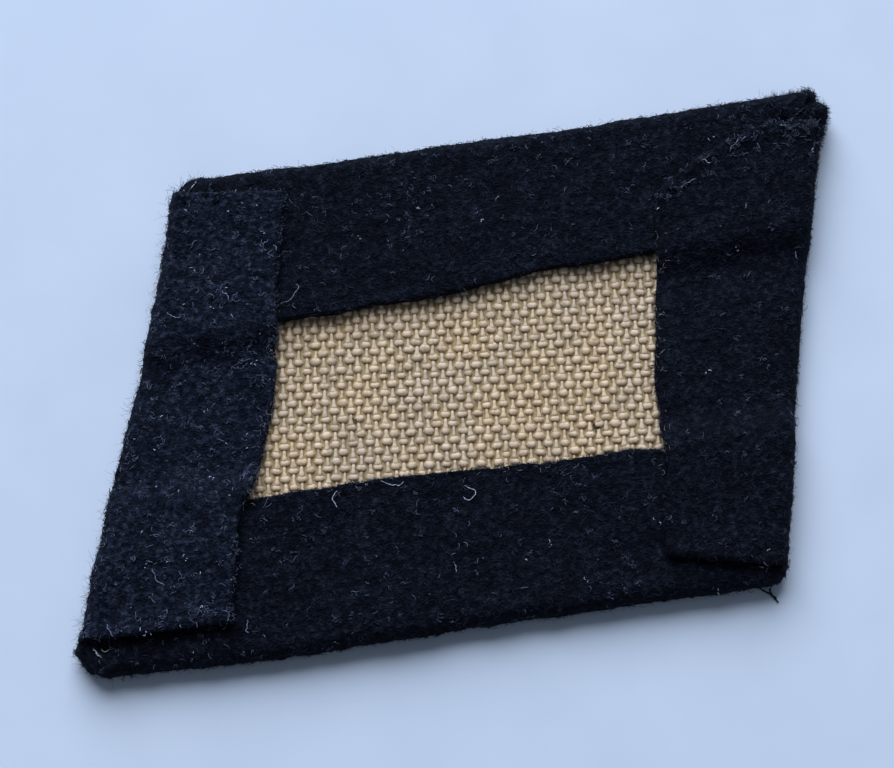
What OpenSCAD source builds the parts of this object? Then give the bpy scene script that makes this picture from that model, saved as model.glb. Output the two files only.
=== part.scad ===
// Cloth collar patch, stored face down: a wool felt cover turned over a buckram stiffener and sewn at the
// corners. +X runs along the long edges, +Z points out of the back. The origin is the bottom centre of its box.

/* [Outline] */
// Length of the top edge, measured to its sharp corners
top_len = 63.5; // [55:0.1:75]
// Length of the bottom edge, measured to its sharp corners
bottom_len = 66.2; // [55:0.1:75]
// Height of the left side
left_h = 46.3; // [42:0.1:60]
// Height of the right side
right_h = 48; // [42:0.1:60]
// How far the middle of the top edge stands to the right of the middle of the bottom edge
lean = 13.6; // [0:0.1:20]
// Radius of the top left corner
top_left_r = 2.4; // [1.8:0.1:4]
// Radius of the top right corner
top_right_r = 2; // [1.8:0.1:4]
// Radius of the bottom right corner
bottom_right_r = 2.2; // [1.8:0.1:4]
// Radius of the bottom left corner
bottom_left_r = 2.6; // [1.8:0.1:4]

/* [Cloth] */
// Thickness of the wool felt
wool_t = 1.1; // [0.8:0.1:1.4]
// Thickness of the buckram
buckram_t = 0.7; // [0.4:0.1:1]
// Outer radius of the folds at the edges of the patch
fold_r = 1; // [0.6:0.05:1]

/* [Top and bottom turn-ins] */
// Depth of the top turn-in at the left side
top_turn_left = 15.7; // [10:0.1:17]
// Depth of the top turn-in at the right side
top_turn_right = 13.3; // [10:0.1:17]
// Depth of the bottom turn-in
bottom_turn = 14.6; // [10:0.1:17]

/* [Side turn-ins] */
// Width of the left turn-in at its top end
left_turn_top = 10.4; // [9:0.1:18]
// Width of the left turn-in at its bottom end
left_turn_bottom = 13.3; // [9:0.1:18]
// Width of the right turn-in at its top end
right_turn_top = 15.5; // [9:0.1:18]
// Width of the right turn-in at its bottom end
right_turn_bottom = 11.4; // [9:0.1:18]
// Length of the slope where a side turn-in steps down to the buckram
ramp_len = 2.5; // [1:0.1:5]

/* [Stitches] */
// Number of stitches on each cut end
stitch_count = 3; // [1:1:4]
// Distance from the side of the patch to the first stitch
stitch_from = 2.6; // [2.4:0.1:3.4]
// Distance from one stitch to the next
stitch_pitch = 1.6; // [1:0.1:1.8]
// How far a stitch reaches on either side of the cut end
stitch_bite = 1; // [0.6:0.1:1.2]
// Width of the flattened thread
thread_w = 0.5; // [0.3:0.1:0.6]
// Thickness of the flattened thread
thread_t = 0.35; // [0.2:0.05:0.4]

/* [Hidden] */
$fn = 48;

WOOL = [0.10, 0.12, 0.19];
TAN = [0.63, 0.57, 0.49];
THREAD = [0.35, 0.40, 0.50];

// Heights in the stack: top of the face, of the buckram, of one turn-in, and of one turn-in on another
face_z = wool_t;
board_z = face_z + buckram_t;
low_z = board_z + wool_t;
high_z = low_z + wool_t;
// Longer than anything in the patch
reach = 200;
// Number of straight steps in each round corner
arc_steps = 8;

// Corners and edges are numbered clockwise from the top left. Edge i runs from corner i to the next corner.
TL = 0;
TR = 1;
BR = 2;
BL = 3;
TOP = 0;
RIGHT = 1;
BOTTOM = 2;
LEFT = 3;
corner = [[(lean - top_len) / 2, left_h / 2], [(lean + top_len) / 2, right_h / 2],
          [(bottom_len - lean) / 2, -right_h / 2], [-(bottom_len + lean) / 2, -left_h / 2]];
corner_r = [top_left_r, top_right_r, bottom_right_r, bottom_left_r];

// At each corner, the width of the side turn-in's cut end, and the gap from that cut end to the top or
// bottom edge, at its outer and inner sides
end_w = [left_turn_top, right_turn_top, right_turn_bottom, left_turn_bottom];
outer_gap = [1.4, 3.4, 2, 3.3];
inner_gap = [2.9, 8.4, 3.4, 3.2];

// The direction of edge i, its angle, and the direction at right angles to it that points into the patch
function dir(i) = let (d = corner[(i + 1) % 4] - corner[i % 4]) d / norm(d);
function angle(i) = atan2(dir(i)[1], dir(i)[0]);
function inward(i) = [dir(i)[1], -dir(i)[0]];

// The point near corner i that lies a inside the edge before it and b inside the edge after it
function inset(i, a, b) =
    let (u = dir(i + 3), v = dir(i)) corner[i] + (a * v - b * u) / (u[1] * v[0] - u[0] * v[1]);
function arc_centre(i) = inset(i, corner_r[i], corner_r[i]);

// The point near corner i that lies a inside the left or right side and b inside the top or bottom edge
function side_inset(i, a, b) = i % 2 == 0 ? inset(i, a, b) : inset(i, b, a);

// The cut end of a side turn-in near corner i, from its outer side to its inner side
function cut_end(i) = [side_inset(i, 0, outer_gap[i]), side_inset(i, end_w[i], inner_gap[i])];
left_flap = [cut_end(BL)[0], cut_end(TL)[0], cut_end(TL)[1], cut_end(BL)[1]];
right_flap = [cut_end(TR)[0], cut_end(BR)[0], cut_end(BR)[1], cut_end(TR)[1]];

// The inner edges of the top and bottom turn-ins, from side to side
top_inner = [side_inset(TL, wool_t, top_turn_left), side_inset(TR, wool_t, top_turn_right)];
bottom_inner = [side_inset(BL, wool_t, bottom_turn), side_inset(BR, wool_t, bottom_turn)];

// The Y of the line through two points, at x
function y_at(line, x) = line[0][1] + (x - line[0][0]) * (line[1][1] - line[0][1]) / (line[1][0] - line[0][0]);

// How far up a flap the bottom turn-in lies under it, and how far down the top turn-in does
function bottom_end(flap) = max([for (p = flap) y_at(bottom_inner, p[0])]);
function top_end(flap) = min([for (p = flap) y_at(top_inner, p[0])]);

// The centre of the patch's box, which becomes the origin
box_centre = [(arc_centre(BL)[0] - corner_r[BL] + arc_centre(TR)[0] + corner_r[TR]) / 2,
              (arc_centre(BR)[1] - corner_r[BR] + arc_centre(TR)[1] + corner_r[TR]) / 2];

// A slab from z = low to z = high
module slab(low, high) {
    translate([0, 0, low])
        linear_extrude(high - low)
            children();
}

// The outline of the patch with its round corners, drawn d inside its edges
module outline(d) {
    polygon([for (i = [TL:BL], k = [0:arc_steps])
        let (turn = acos(dir(i + 3) * dir(i)), a = angle(i + 3) + 90 - turn * k / arc_steps)
            arc_centre(i) + (corner_r[i] - d) * [cos(a), sin(a)]]);
}

// All the area that lies more than d inside edge i
module inside_edge(i, d) {
    translate(corner[i])
        rotate(angle(i))
            translate([-reach, -reach - d])
                square([3 * reach, reach]);
}

// All the space inside edge i up to height h, with the cloth folded round at the foot and the top
module folded_edge(i, h) {
    translate(corner[i])
        rotate([90, 0, angle(i) + 90])
            translate([0, 0, -reach])
                linear_extrude(3 * reach) {
                    translate([-reach, 0])
                        square([reach - fold_r, h]);
                    translate([-reach, fold_r])
                        square([reach, h - 2 * fold_r]);
                    for (z = [fold_r, h - fold_r])
                        translate([-fold_r, z])
                            circle(fold_r);
                }
}

// All the space under the upper surface of a side turn-in, less a depth. The surface is high over the
// bottom and top turn-ins, and slopes down between them.
module under_side(flap, depth) {
    low = low_z - depth;
    high = high_z - depth;
    bottom_y = bottom_end(flap);
    top_y = top_end(flap);
    rotate([90, 0, 90])
        translate([0, 0, -reach])
            linear_extrude(2 * reach)
                polygon([[-reach, 0], [reach, 0], [reach, high], [top_y, high], [top_y - ramp_len, low],
                         [bottom_y + ramp_len, low], [bottom_y, high], [-reach, high]]);
}

// The stitches on the cut end near corner i. Each is a flat thread that lies in the upper cloth, runs down
// the cut end and lies in the lower cloth.
module stitches(i) {
    p = cut_end(i)[0];
    along = cut_end(i)[1] - p;
    translate(p)
        rotate(atan2(along[1], along[0]))
            mirror([0, i % 2, 0])
                for (k = [0:stitch_count - 1])
                    translate([stitch_from + k * stitch_pitch - thread_w / 2, 0, 0]) {
                        translate([0, -stitch_bite, high_z - thread_t])
                            cube([thread_w, stitch_bite + thread_t, thread_t]);
                        translate([0, 0, low_z - thread_t])
                            cube([thread_w, thread_t, high_z - low_z + thread_t]);
                        translate([0, 0, low_z - thread_t])
                            cube([thread_w, stitch_bite, thread_t]);
                    }
}

// A turn-in along the top or bottom edge i, with its depth at the left side and at the right side. It runs
// between the folds of the sides, closes round the buckram, and has room for the stitches on it.
module flat_turn_in(i, depth) {
    left = i == TOP ? TL : BL;
    right = i == TOP ? TR : BR;
    color(WOOL)
        difference() {
            intersection() {
                slab(face_z, low_z)
                    intersection() {
                        outline(0);
                        polygon([side_inset(left, wool_t, -1), side_inset(right, wool_t, -1),
                                 side_inset(right, wool_t, depth[1]), side_inset(left, wool_t, depth[0])]);
                    }
                folded_edge(i, low_z);
            }
            slab(0, board_z)
                outline(wool_t);
            stitches(left);
            stitches(right);
        }
}

// A turn-in along the left or right side i. Its fold runs the full length of the side and closes round the
// buckram and the ends of the top and bottom turn-ins, and its flap lies over them.
module side_turn_in(i, flap) {
    color(WOOL)
        difference() {
            intersection() {
                slab(face_z, high_z)
                    intersection() {
                        outline(0);
                        union() {
                            polygon(flap);
                            difference() {
                                outline(0);
                                inside_edge(i, wool_t);
                            }
                        }
                    }
                under_side(flap, 0);
                folded_edge(i, high_z);
            }
            intersection() {
                under_side(flap, wool_t);
                slab(0, high_z)
                    inside_edge(i, wool_t);
            }
            stitches(i);
            stitches((i + 1) % 4);
        }
}

// The face panel, inside the four folds
module wool_face() {
    color(WOOL)
        intersection() {
            slab(0, face_z)
                outline(0);
            for (i = [TOP:LEFT])
                folded_edge(i, low_z);
        }
}

module buckram() {
    color(TAN)
        slab(face_z, board_z)
            outline(wool_t);
}

module top_turn_in() {
    flat_turn_in(TOP, [top_turn_left, top_turn_right]);
}

module bottom_turn_in() {
    flat_turn_in(BOTTOM, [bottom_turn, bottom_turn]);
}

module left_turn_in() {
    side_turn_in(LEFT, left_flap);
}

module right_turn_in() {
    side_turn_in(RIGHT, right_flap);
}

module stitches_top_left() {
    color(THREAD)
        stitches(TL);
}

module stitches_top_right() {
    color(THREAD)
        stitches(TR);
}

module stitches_bottom_left() {
    color(THREAD)
        stitches(BL);
}

module stitches_bottom_right() {
    color(THREAD)
        stitches(BR);
}

translate([-box_centre[0], -box_centre[1], 0]) {
    wool_face();
    buckram();
    top_turn_in();
    bottom_turn_in();
    left_turn_in();
    right_turn_in();
    stitches_top_left();
    stitches_top_right();
    stitches_bottom_left();
    stitches_bottom_right();
}
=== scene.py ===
"""The looks of a cloth collar patch, back side up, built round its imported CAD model. Lengths are in metres
unless a comment says otherwise."""
import math
from itertools import product

import bpy
import numpy as np
from mathutils import Matrix, Vector
from mathutils.bvhtree import BVHTree


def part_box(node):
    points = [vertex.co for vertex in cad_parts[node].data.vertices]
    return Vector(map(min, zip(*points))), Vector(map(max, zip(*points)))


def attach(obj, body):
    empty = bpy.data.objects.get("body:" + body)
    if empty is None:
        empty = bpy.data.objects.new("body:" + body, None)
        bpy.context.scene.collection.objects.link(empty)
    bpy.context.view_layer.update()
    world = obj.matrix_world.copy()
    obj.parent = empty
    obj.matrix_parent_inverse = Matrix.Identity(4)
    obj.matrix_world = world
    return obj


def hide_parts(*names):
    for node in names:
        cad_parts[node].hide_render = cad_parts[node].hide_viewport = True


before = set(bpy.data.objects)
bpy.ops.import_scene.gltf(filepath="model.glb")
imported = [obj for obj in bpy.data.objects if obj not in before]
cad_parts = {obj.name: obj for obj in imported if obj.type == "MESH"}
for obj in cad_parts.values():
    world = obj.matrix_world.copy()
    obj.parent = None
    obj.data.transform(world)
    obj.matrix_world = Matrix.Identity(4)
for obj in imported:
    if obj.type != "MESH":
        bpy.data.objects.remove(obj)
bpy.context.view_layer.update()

MM = 0.001
X, _, UP = np.eye(3)


# Numbers and curves

def smooth(t):
    """0 below 0, 1 above 1, and a soft step between."""
    t = np.clip(t, 0, 1)
    return t * t * (3 - 2 * t)


def hump(distance, width):
    """A round hump of height 1 at distance 0."""
    return np.exp(-(distance / width) ** 2)


def noise(points, size, seed=0):
    """Smooth random values from -1 to 1 that change over about size metres."""
    n = 64
    table = np.random.default_rng(seed).uniform(-1, 1, (n, n, n))
    q = np.asarray(points, float) / size + 0.37
    cell = np.floor(q).astype(int)
    part = q - cell
    part = part * part * (3 - 2 * part)
    total = np.zeros(q.shape[:-1])
    for corner in product((0, 1), repeat=3):
        weight = np.prod(np.where(corner, part, 1 - part), axis=-1)
        total += weight * table[tuple(np.moveaxis((cell + corner) % n, -1, 0))]
    return total


def unit(v):
    return v / np.linalg.norm(v, axis=-1, keepdims=True)


def flat3(points, z=0.0):
    """2-D points as 3-D points at height z."""
    return np.concatenate([points, np.broadcast_to(z, points.shape[:-1])[..., None]], -1)


def resample(points, count):
    """count points, evenly spaced along a polyline."""
    walked = np.r_[0, np.cumsum(np.linalg.norm(np.diff(points, axis=0), axis=1))]
    at = np.linspace(0, walked[-1], count)
    return np.stack([np.interp(at, walked, points[:, k]) for k in range(points.shape[1])], 1)


def eased(values, at):
    """Values at evenly spaced places from 0 to 1, eased between them."""
    values = np.asarray(values, float)
    at = np.clip(at, 0, 1) * (len(values) - 1)
    low = np.clip(at.astype(int), 0, len(values) - 2)
    return values[low] + (values[low + 1] - values[low]) * smooth(at - low)


def bent_line(start, end, bows, count, seed):
    """A cut edge from start to end. bows are how far it stands off the straight line, to its left, at evenly
    spaced places, in millimetres. A little noise is added, as shears leave it."""
    t = np.linspace(0, 1, count)[:, None]
    line = start + (end - start) * t
    left = np.array([start[1] - end[1], end[0] - start[0]])
    off = eased(bows, t[:, 0]) * MM
    off = off + 0.14 * MM * noise(flat3(line), 2.2 * MM, seed)
    off = off + 0.08 * MM * noise(flat3(line), 0.8 * MM, seed)
    return line + unit(left) * off[:, None]


# Sizes and places, read from the CAD nodes

def plan_hull(node):
    """The convex hull of a CAD node seen from above, anticlockwise."""
    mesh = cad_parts[node].data
    co = np.empty(len(mesh.vertices) * 3, np.float32)
    mesh.vertices.foreach_get("co", co)
    points = sorted(set(map(tuple, np.round(co.reshape(-1, 3)[:, :2].astype(float), 7))))

    def chain(points):
        kept = []
        for p in points:
            while len(kept) > 1:
                (ax, ay), (bx, by) = kept[-2:]
                if (bx - ax) * (p[1] - ay) - (by - ay) * (p[0] - ax) > 0:
                    break
                kept.pop()
            kept.append(p)
        return kept[:-1]

    return np.array(chain(points) + chain(points[::-1]))


def facing(node, direction):
    """The end points of a CAD node's longest straight edge that faces a direction, going anticlockwise."""
    corners = plan_hull(node)
    along = np.roll(corners, -1, 0) - corners
    best = np.argmax(along[:, 1] * direction[0] - along[:, 0] * direction[1])
    return corners[best], corners[(best + 1) % len(corners)]


def crossing(a, b):
    """Where the lines through two pairs of points cross."""
    u, v = a[1] - a[0], b[1] - b[0]
    t = np.linalg.solve(np.stack([u, -v], 1), b[0] - a[0])[0]
    return a[0] + t * u


def y_on(line, x):
    (ax, ay), (bx, by) = line
    return ay + (x - ax) * (by - ay) / (bx - ax)


FACE_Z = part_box("wool_face")[1].z
BOARD_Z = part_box("buckram")[1].z
LOW_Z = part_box("top_turn_in")[1].z
HIGH_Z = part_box("left_turn_in")[1].z
WOOL = LOW_Z - BOARD_Z
BASE = 0.08 * MM  # the felt's own surface, above the nap that it lies on
LOWEST_FOLD = 0.02 * MM  # no point of a turn-in comes lower
LOWEST_FACE = 0.03 * MM  # nor of the face panel, which stays clear of the turn-ins' feet
FOOT = 2.6 * MM  # how far each fold reaches under the patch before the face panel takes over

# Sides and corners go anticlockwise, and corner k is where side k starts
BOTTOM, RIGHT, TOP, LEFT = range(4)
side_line = [facing("wool_face", d) for d in ((0, -1), (1, 0), (0, 1), (-1, 0))]
corner = np.array([crossing(side_line[k - 1], side_line[k]) for k in range(4)])
BL, BR, TR, TL = range(4)
along = unit(np.roll(corner, -1, 0) - corner)
inward = np.stack([-along[:, 1], along[:, 0]], 1)


def inside(points, side):
    """How far points lie inside a side's straight line."""
    return (points - corner[side]) @ inward[side]


def corner_point(k, before, after):
    """The point at corner k that lies these distances inside the side before it and the side after it."""
    lines = np.stack([inward[k - 1], inward[k]])
    return corner[k] + np.linalg.solve(lines, [before, after])


# The inner edges of the top and bottom turn-ins, from left to right
top_inner = facing("top_turn_in", (0, -1))
bottom_inner = facing("bottom_turn_in", (0, 1))[::-1]


# The outline

CORNER_R = np.array([2.8, 2.6, 1.5, 2.3]) * MM
# How far each side bows outwards, in millimetres, at evenly spaced places going anticlockwise
SIDE_BOWS = {
    BOTTOM: (0.0, 0.2, 0.34, 0.32, 0.05, -0.18, -0.35, -0.5, -0.45, -0.5),
    RIGHT: (-0.2, -0.25, -0.4, -0.6, -0.7, -0.6, -0.5, -0.4, -0.3),
    TOP: (0.0, -0.05, -0.15, -0.2, -0.2, -0.15, -0.2, -0.15, 0.0, 0.1),
    LEFT: (0.15, -0.1, -0.2, -0.2, 0.0, 0.13, 0.22, 0.25, 0.25),
}
# Lumps and dents near each corner: how far past the corner, how high and how wide, in millimetres
LUMPS = {
    BL: ((-2.6, 0.05, 0.9), (-1.5, 0.55, 0.55), (0.1, 0.40, 0.9), (1.7, 0.15, 0.9)),
    BR: ((-2.4, -0.12, 1.0), (1.9, 0.05, 0.9)),
    TR: ((-2.7, 0.55, 0.9), (-1.75, 0.40, 0.45), (-0.85, -0.65, 0.5), (0.1, -0.5, 0.75), (1.9, -0.12, 0.9)),
    TL: ((-1.9, 0.15, 0.9), (0.0, -0.05, 0.6), (1.9, 0.10, 0.9)),
}


def make_outline(step=0.15 * MM):
    """The patch's outline as a closed line of points, anticlockwise, with the place of each corner in it."""
    points = []
    for k in range(4):
        turn = math.acos(along[k - 1] @ along[k])
        reach = CORNER_R[k] * math.tan(turn / 2)
        centre = corner[k] - along[k - 1] * reach + inward[k - 1] * CORNER_R[k]
        first = math.atan2(*-inward[k - 1][::-1])
        angles = first + np.linspace(0, turn, 24)
        points.append(centre + CORNER_R[k] * np.stack([np.cos(angles), np.sin(angles)], 1))
    points = np.concatenate([*points, points[0][:1]])
    length = np.linalg.norm(np.diff(points, axis=0), axis=1).sum()
    points = resample(points, int(length / step) + 1)[:-1]
    tangent = unit(np.roll(points, -1, 0) - np.roll(points, 1, 0))
    outward = np.stack([tangent[:, 1], -tangent[:, 0]], 1)
    offset = np.zeros(len(points))
    for k in range(4):
        place = (points - corner[k]) @ along[k] / np.linalg.norm(corner[(k + 1) % 4] - corner[k])
        near = (inside(points, k) < 0.6 * MM) & (place >= 0) & (place <= 1)
        offset[near] = eased(SIDE_BOWS[k], place[near]) * MM
    for _ in range(30):
        offset = (np.roll(offset, 1) + offset + np.roll(offset, -1)) / 3
    offset += 0.07 * MM * noise(flat3(points), 2.3 * MM, 1) + 0.05 * MM * noise(flat3(points), 0.8 * MM, 2)
    for k in range(4):
        middle = np.argmin(np.linalg.norm(points - corner[k], axis=1))
        walk = (np.arange(len(points)) - middle + len(points) // 2) % len(points) - len(points) // 2
        for place, high, width in LUMPS[k]:
            offset += high * MM * hump(walk * step - place * MM, width * MM)
    return points + outward * offset[:, None]


outline = make_outline()


# Meshes

def make_piece(name, points, faces, material):
    """A mesh object from points and a list of face arrays, each with one number of corners."""
    mesh = bpy.data.meshes.new(name)
    faces = [np.asarray(f, np.int32) for f in faces if len(f)]
    sizes = np.concatenate([np.full(len(f), f.shape[1]) for f in faces])
    loops = np.concatenate([f.ravel() for f in faces])
    mesh.vertices.add(len(points))
    mesh.vertices.foreach_set("co", np.asarray(points, np.float32).ravel())
    mesh.loops.add(len(loops))
    mesh.loops.foreach_set("vertex_index", loops)
    mesh.polygons.add(len(sizes))
    mesh.polygons.foreach_set("loop_start", (np.cumsum(sizes) - sizes).astype(np.int32))
    mesh.polygons.foreach_set("use_smooth", np.ones(len(sizes), bool))
    mesh.update(calc_edges=True)
    mesh.materials.append(material)
    piece = bpy.data.objects.new(name, mesh)
    bpy.context.scene.collection.objects.link(piece)
    return piece


def tube_faces(rows, columns):
    """The quads and end caps of a tube whose points come in rows rings of columns points."""
    ring = np.arange(columns)
    start = (np.arange(rows - 1) * columns)[:, None]
    a, b = start + ring, start + (ring + 1) % columns
    quads = np.stack([a, b, b + columns, a + columns], -1).reshape(-1, 4)
    caps = np.stack([ring[::-1], ring + (rows - 1) * columns])
    return [quads, caps]


def make_tubes(name, grids, material):
    """One mesh from closed tubes, each a grid of rings of points."""
    quads, caps, used = [], [], 0
    for grid in grids:
        sides, ends = tube_faces(*grid.shape[:2])
        quads.append(sides + used)
        caps.append(ends + used)
        used += grid.shape[0] * grid.shape[1]
    points = np.concatenate([grid.reshape(-1, 3) for grid in grids])
    return make_piece(name, points, [np.concatenate(quads), np.concatenate(caps)], material)


def grid_quads(grid):
    """The four corners of each quad of a tube's grid, ring by ring."""
    after = np.roll(grid, -1, 1)
    return np.stack([grid[:-1], after[:-1], after[1:], grid[1:]], 2)


def grid_normals(grid):
    """Outward normals of a tube's points."""
    across = np.roll(grid, -1, 1) - np.roll(grid, 1, 1)
    down = np.gradient(grid, axis=0)
    return unit(np.cross(across, down) + 1e-12)


def felt_bumps(points):
    """How far felt stands out or in, as lumps, pressed places and matted fibres."""
    return MM * (0.10 * noise(points, 4.1 * MM, 21) + 0.06 * noise(points, 1.5 * MM, 22)
                 + 0.065 * noise(points, 0.7 * MM, 23) + 0.035 * noise(points, 0.34 * MM, 24))


nap_beds = []  # the quads of each turn-in that show, for the nap to grow on
cut_beds = []  # those along its cut inner edge


def add_nap_beds(grid, shown, cut):
    """Notes a turn-in's quads for the nap to grow on: the columns that show, and those of its cut edge."""
    quads = grid_quads(grid)
    nap_beds.append(quads[:, shown].reshape(-1, 4, 3))
    cut_beds.append(quads[:, cut].reshape(-1, 4, 3))


# Materials

def new_material(name, **sockets):
    """A material with a Principled shader whose sockets have these constant values."""
    material = bpy.data.materials.new(name)
    material.use_nodes = True
    shader = material.node_tree.nodes["Principled BSDF"]
    for socket, value in sockets.items():
        shader.inputs[socket.replace("_", " ")].default_value = value
    return material, material.node_tree, shader


def add_noise(tree, size, detail=3.0, squeeze=(1, 1, 1)):
    """A noise texture in object space, with spots of about size metres, longer where squeeze is under 1."""
    place = tree.nodes.new("ShaderNodeTexCoord")
    mapping = tree.nodes.new("ShaderNodeMapping")
    mapping.inputs["Scale"].default_value = squeeze
    texture = tree.nodes.new("ShaderNodeTexNoise")
    texture.inputs["Scale"].default_value = 1 / size
    texture.inputs["Detail"].default_value = detail
    tree.links.new(place.outputs["Object"], mapping.inputs["Vector"])
    tree.links.new(mapping.outputs["Vector"], texture.inputs["Vector"])
    return texture.outputs["Fac"]


def multiply(tree, one, other):
    mix = tree.nodes.new("ShaderNodeMix")
    mix.data_type = "RGBA"
    mix.blend_type = "MULTIPLY"
    mix.inputs[0].default_value = 1
    tree.links.new(one, mix.inputs[6])
    tree.links.new(other, mix.inputs[7])
    return mix.outputs[2]


def add_ramp(tree, value, stops):
    """A colour ramp of (position, colour) stops."""
    ramp = tree.nodes.new("ShaderNodeValToRGB")
    while len(ramp.color_ramp.elements) < len(stops):
        ramp.color_ramp.elements.new(0.5)
    for element, (place, colour) in zip(ramp.color_ramp.elements, stops):
        element.position = place
        element.color = (*colour, 1)
    tree.links.new(value, ramp.inputs["Fac"])
    return ramp.outputs["Color"]


def add_bump(tree, shader, heights, depth):
    """Bumps the shader by the sum of (height, share) outputs. depth is in metres."""
    total = None
    for height, share in heights:
        scaled = tree.nodes.new("ShaderNodeMath")
        scaled.operation = "MULTIPLY_ADD"
        scaled.inputs[1].default_value = share
        scaled.inputs[2].default_value = 0.0
        tree.links.new(height, scaled.inputs[0])
        if total is not None:
            tree.links.new(total, scaled.inputs[2])
        total = scaled.outputs[0]
    bump = tree.nodes.new("ShaderNodeBump")
    bump.inputs["Distance"].default_value = depth
    tree.links.new(total, bump.inputs["Height"])
    tree.links.new(bump.outputs["Normal"], shader.inputs["Normal"])


def felt_material(name, light):
    """Black-navy wool felt: matt, with soft patches of matted fibres. light scales its colours; above 1 it
    makes a painted-light copy of the same felt, lighter for a turn-in that the light falls on more."""
    material, tree, shader = new_material(name, Roughness=0.9, Specular_IOR_Level=0.10,
                                          Specular_Tint=(0.62, 0.74, 1.0, 1), Sheen_Weight=0.02,
                                          Sheen_Roughness=0.5, Sheen_Tint=(0.5, 0.65, 0.9, 1))
    streaks = add_noise(tree, 0.20 * MM, 2, (0.85, 1, 1))
    tufts = add_noise(tree, 0.5 * MM, 2, (0.9, 1, 1))
    patches = add_noise(tree, 3.2 * MM)
    colours = [(0.0026, 0.0034, 0.0066), (0.0057, 0.0075, 0.0150), (0.0105, 0.0140, 0.0265)]
    stops = [(place, tuple(light * np.array(c))) for place, c in zip((0.40, 0.62, 0.78), colours)]
    mottle = add_ramp(tree, streaks, stops)
    by_tuft = add_ramp(tree, tufts, [(0.38, (0.40, 0.42, 0.45)), (0.53, (0.95, 0.97, 0.95)),
                                     (0.70, (2.5, 2.5, 2.3))])
    by_patch = add_ramp(tree, patches, [(0.35, (0.7, 0.7, 0.75)), (0.65, (1.25, 1.25, 1.2))])
    colour = multiply(tree, multiply(tree, mottle, by_tuft), by_patch)
    tree.links.new(colour, shader.inputs["Base Color"])
    add_bump(tree, shader, [(streaks, 1.0), (tufts, 1.0)], 0.22 * MM)
    return material


def fibre_material(name, colour, roughness=0.6, sheen=0.3, gloss=0.35):
    """Single fibres of one dye lot. The nap's variety comes from several lots and from how the fibres lie."""
    return new_material(name, Base_Color=(*colour, 1), Roughness=roughness, Sheen_Weight=sheen,
                        Sheen_Tint=(0.6, 0.72, 1.0, 1), Specular_IOR_Level=gloss,
                        Specular_Tint=(0.6, 0.72, 1.0, 1))[0]


def yarn_material(name, light, dark):
    """Sized cotton yarn: pale on top of each knuckle and darker lower down, as painted shade between the
    yarns.
    """
    material, tree, shader = new_material(name, Roughness=0.85, Specular_IOR_Level=0.3)
    place = tree.nodes.new("ShaderNodeTexCoord")
    split = tree.nodes.new("ShaderNodeSeparateXYZ")
    tree.links.new(place.outputs["Object"], split.inputs["Vector"])
    # Painted shade: the colour goes from light at the yarn tops to dark lower down between the yarns
    depth = tree.nodes.new("ShaderNodeMapRange")
    depth.inputs["From Min"].default_value = BOARD_Z - 0.34 * MM
    depth.inputs["From Max"].default_value = BOARD_Z - 0.02 * MM
    tree.links.new(split.outputs["Z"], depth.inputs["Value"])
    halfway = tuple(np.add(dark, light) * 0.5)
    painted_depth_shade = add_ramp(tree, depth.outputs["Result"], [(0.0, dark), (0.5, halfway), (0.85, light)])
    patches = add_noise(tree, 4.0 * MM, 3)
    patches = add_ramp(tree, patches, [(0.35, (0.95, 0.955, 0.98)), (0.65, (1.04, 1.00, 0.93))])
    spots = add_noise(tree, 0.7 * MM, 4)
    spots = add_ramp(tree, spots, [(0.32, (0.74, 0.71, 0.66)), (0.5, (0.98, 0.97, 0.95)),
                                   (0.7, (1.12, 1.12, 1.12))])
    tree.links.new(multiply(tree, multiply(tree, painted_depth_shade, patches), spots), shader.inputs["Base Color"])
    fibres, plies = add_noise(tree, 0.07 * MM, 3), add_noise(tree, 0.3 * MM, 2)
    add_bump(tree, shader, [(fibres, 1.0), (plies, 0.6)], 0.05 * MM)
    return material


def floor_material():
    """A plain pale floor with a very slight unevenness."""
    material, tree, shader = new_material("pale_floor", Roughness=0.9, Specular_IOR_Level=0.2)
    patches = add_noise(tree, 12 * MM)
    shades = add_ramp(tree, patches, [(0.3, (0.63, 0.725, 0.87)), (0.7, (0.67, 0.765, 0.91))])
    tree.links.new(shades, shader.inputs["Base Color"])
    return material


FELT = felt_material("wool_felt", 1.0)
# Painted light: the left turn-in's felt is the same felt made lighter, for the light that falls on it
PAINTED_LIGHT_FELT = felt_material("wool_felt_painted_light", 2.1)


# The felt turn-ins

FOLD_R = 1.15 * MM  # outer radius of a fold at its foot
LIP_R = 1.35 * MM  # outer radius where a fold turns onto the back
CUT_R = 0.22 * MM  # the slight rounding of a cut edge
STEP = 0.2 * MM


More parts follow.
